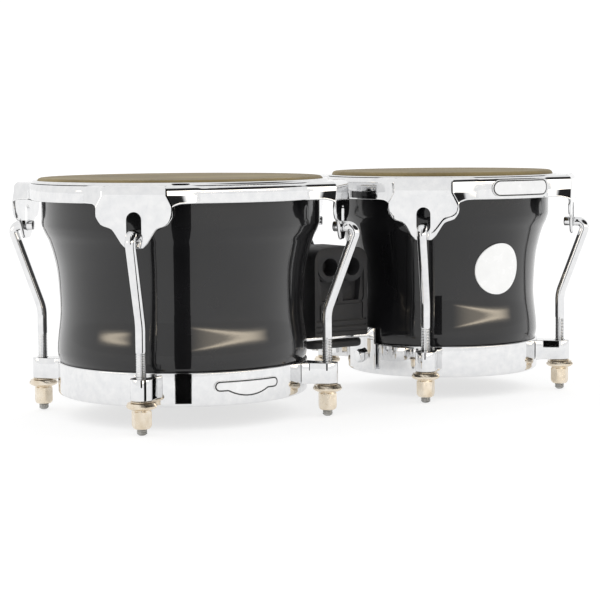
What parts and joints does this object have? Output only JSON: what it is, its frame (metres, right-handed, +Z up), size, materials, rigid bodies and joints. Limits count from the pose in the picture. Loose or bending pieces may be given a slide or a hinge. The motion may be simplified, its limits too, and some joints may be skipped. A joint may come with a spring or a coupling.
{
  "type": "bongo drums",
  "caption": "Bongo drums: waisted gloss shells with skin heads under chrome counter rims, drawn down by hook-ended tuning rods and joined by a moulded centre block.",
  "frame": {"origin": "Under the middle of the row of two drums, on the surface that the rod ends stand on.", "axes": "+Z up through the drums; +X from the large drum to the small one; the player's side with the badges is -Y."},
  "size_m": [0.4784, 0.238, 0.1886],
  "materials": {
    "shell_lacquer": "black high-gloss lacquer over fibreglass",
    "skin": "tan natural hide, matt, faintly mottled",
    "chrome": "polished chrome plate on steel",
    "nut_nickel": "warm satin nickel plate",
    "moulding": "fine-grained charcoal moulding",
    "badge": "white enamel with a plain dark ring",
    "label": "printed pale label with a dark outline"
  },
  "bodies": {
    "drum_bodies": {"hembra_shell": "shell_lacquer", "hembra_skin": "skin", "hembra_bottom_ring": "chrome", "hembra_lug_bracket_1": "chrome", "hembra_lug_bracket_2": "chrome", "hembra_lug_bracket_3": "chrome", "hembra_lug_bracket_4": "chrome", "hembra_washer_1": "nut_nickel", "hembra_washer_2": "nut_nickel", "hembra_washer_3": "nut_nickel", "hembra_washer_4": "nut_nickel", "macho_shell": "shell_lacquer", "macho_skin": "skin", "macho_bottom_ring": "chrome", "macho_lug_bracket_1": "chrome", "macho_lug_bracket_2": "chrome", "macho_lug_bracket_3": "chrome", "macho_lug_bracket_4": "chrome", "macho_washer_1": "nut_nickel", "macho_washer_2": "nut_nickel", "macho_washer_3": "nut_nickel", "macho_washer_4": "nut_nickel", "centre_block": "moulding", "mounting_plate": "chrome", "clamp_bar": "moulding", "hembra_ring_bolt": "chrome", "macho_ring_bolt": "chrome", "block_bolt_front": "chrome", "block_bolt_rear": "chrome", "hembra_ring_label": "label", "macho_shell_badge": "badge"},
    "hembra_rim_set": {"hembra_rim": "chrome", "hembra_flesh_hoop": "chrome", "hembra_tuning_rod_1": "chrome", "hembra_tuning_rod_2": "chrome", "hembra_tuning_rod_3": "chrome", "hembra_tuning_rod_4": "chrome"},
    "hembra_nut_1": {"hembra_tuning_nut_1": "nut_nickel"},
    "hembra_nut_2": {"hembra_tuning_nut_2": "nut_nickel"},
    "hembra_nut_3": {"hembra_tuning_nut_3": "nut_nickel"},
    "hembra_nut_4": {"hembra_tuning_nut_4": "nut_nickel"},
    "macho_rim_set": {"macho_rim": "chrome", "macho_flesh_hoop": "chrome", "macho_tuning_rod_1": "chrome", "macho_tuning_rod_2": "chrome", "macho_tuning_rod_3": "chrome", "macho_tuning_rod_4": "chrome", "macho_rim_label": "label"},
    "macho_nut_1": {"macho_tuning_nut_1": "nut_nickel"},
    "macho_nut_2": {"macho_tuning_nut_2": "nut_nickel"},
    "macho_nut_3": {"macho_tuning_nut_3": "nut_nickel"},
    "macho_nut_4": {"macho_tuning_nut_4": "nut_nickel"}
  },
  "joints": [
    {"name": "hembra_tension", "type": "slide", "parent": "drum_bodies", "child": "hembra_rim_set", "axis": [0, 0, -1], "range_m": [-0.003, 0.004]},
    {"name": "hembra_nut_1_turn", "type": "hinge", "parent": "drum_bodies", "child": "hembra_nut_1", "pos_m": [-0.20253, -0.08238, 0.0201], "axis": [0, 0, 1], "range_deg": [-870, 1160]},
    {"name": "hembra_nut_2_turn", "type": "hinge", "parent": "drum_bodies", "child": "hembra_nut_2", "pos_m": [-0.03777, -0.08238, 0.0201], "axis": [0, 0, 1], "range_deg": [-870, 1160]},
    {"name": "hembra_nut_3_turn", "type": "hinge", "parent": "drum_bodies", "child": "hembra_nut_3", "pos_m": [-0.03777, 0.08238, 0.0201], "axis": [0, 0, 1], "range_deg": [-870, 1160]},
    {"name": "hembra_nut_4_turn", "type": "hinge", "parent": "drum_bodies", "child": "hembra_nut_4", "pos_m": [-0.20253, 0.08238, 0.0201], "axis": [0, 0, 1], "range_deg": [-870, 1160]},
    {"name": "macho_tension", "type": "slide", "parent": "drum_bodies", "child": "macho_rim_set", "axis": [0, 0, -1], "range_m": [-0.003, 0.004]},
    {"name": "macho_nut_1_turn", "type": "hinge", "parent": "drum_bodies", "child": "macho_nut_1", "pos_m": [0.06609, -0.07156, 0.0201], "axis": [0, 0, 1], "range_deg": [-870, 1160]},
    {"name": "macho_nut_2_turn", "type": "hinge", "parent": "drum_bodies", "child": "macho_nut_2", "pos_m": [0.20921, -0.07156, 0.0201], "axis": [0, 0, 1], "range_deg": [-870, 1160]},
    {"name": "macho_nut_3_turn", "type": "hinge", "parent": "drum_bodies", "child": "macho_nut_3", "pos_m": [0.20921, 0.07156, 0.0201], "axis": [0, 0, 1], "range_deg": [-870, 1160]},
    {"name": "macho_nut_4_turn", "type": "hinge", "parent": "drum_bodies", "child": "macho_nut_4", "pos_m": [0.06609, 0.07156, 0.0201], "axis": [0, 0, 1], "range_deg": [-870, 1160]}
  ],
  "couplings": [
    {"joint": "hembra_nut_1_turn", "follows": "hembra_tension", "rad_per_m": 5026.5},
    {"joint": "hembra_nut_2_turn", "follows": "hembra_tension", "rad_per_m": 5026.5},
    {"joint": "hembra_nut_3_turn", "follows": "hembra_tension", "rad_per_m": 5026.5},
    {"joint": "hembra_nut_4_turn", "follows": "hembra_tension", "rad_per_m": 5026.5},
    {"joint": "macho_nut_1_turn", "follows": "macho_tension", "rad_per_m": 5026.5},
    {"joint": "macho_nut_2_turn", "follows": "macho_tension", "rad_per_m": 5026.5},
    {"joint": "macho_nut_3_turn", "follows": "macho_tension", "rad_per_m": 5026.5},
    {"joint": "macho_nut_4_turn", "follows": "macho_tension", "rad_per_m": 5026.5}
  ]
}
